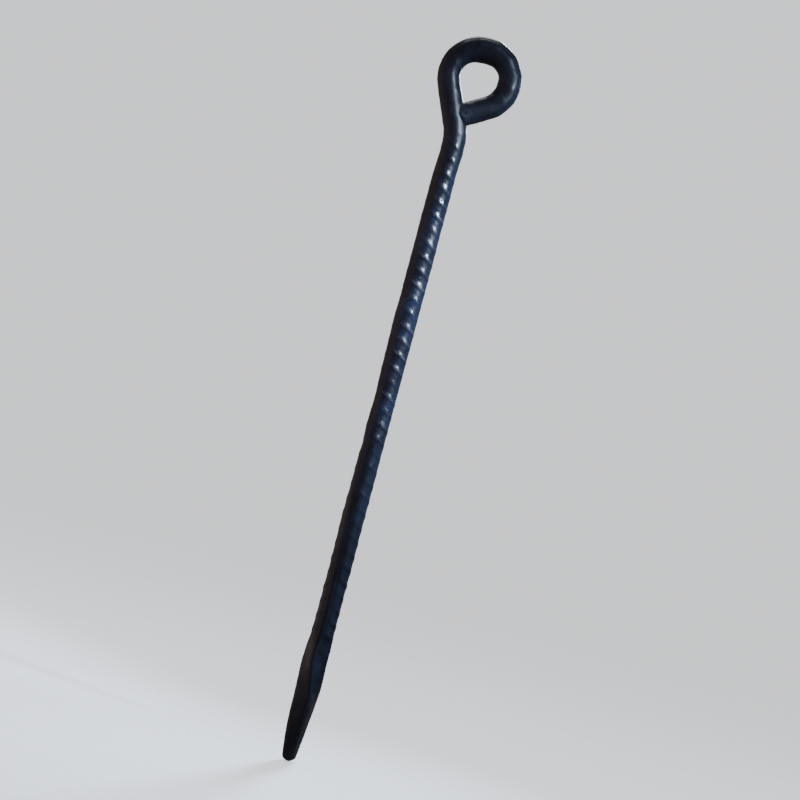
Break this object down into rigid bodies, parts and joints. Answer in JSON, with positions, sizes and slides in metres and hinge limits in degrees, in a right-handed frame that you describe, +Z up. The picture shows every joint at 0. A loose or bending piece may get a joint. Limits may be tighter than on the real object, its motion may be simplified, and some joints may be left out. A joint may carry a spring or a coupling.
{
  "type": "post anchor spike",
  "caption": "Ribbed steel bar stake with a forged four-sided point, a bent neck and a closed round eye, painted blue-black.",
  "frame": {"origin": "on the shank's axis at the ground line, the depth it is driven to, just below the neck's bend", "axes": "+Z up the shank, away from the point; the eye lies in the XZ plane and leans out towards +X; +Y is the back, along the eye's hole"},
  "size_m": [0.0515, 0.0158, 0.4576],
  "materials": {
    "bar_paint": "semi-gloss blue-black enamel over ribbed bar, a little dull and rubbed on the ribs",
    "weld_paint": "the same enamel over a rough rippled weld bead"
  },
  "bodies": {
    "root": {"forged_point": "bar_paint", "ribbed_shank": "bar_paint", "eye_loop": "bar_paint", "eye_weld": "weld_paint"}
  },
  "joints": []
}
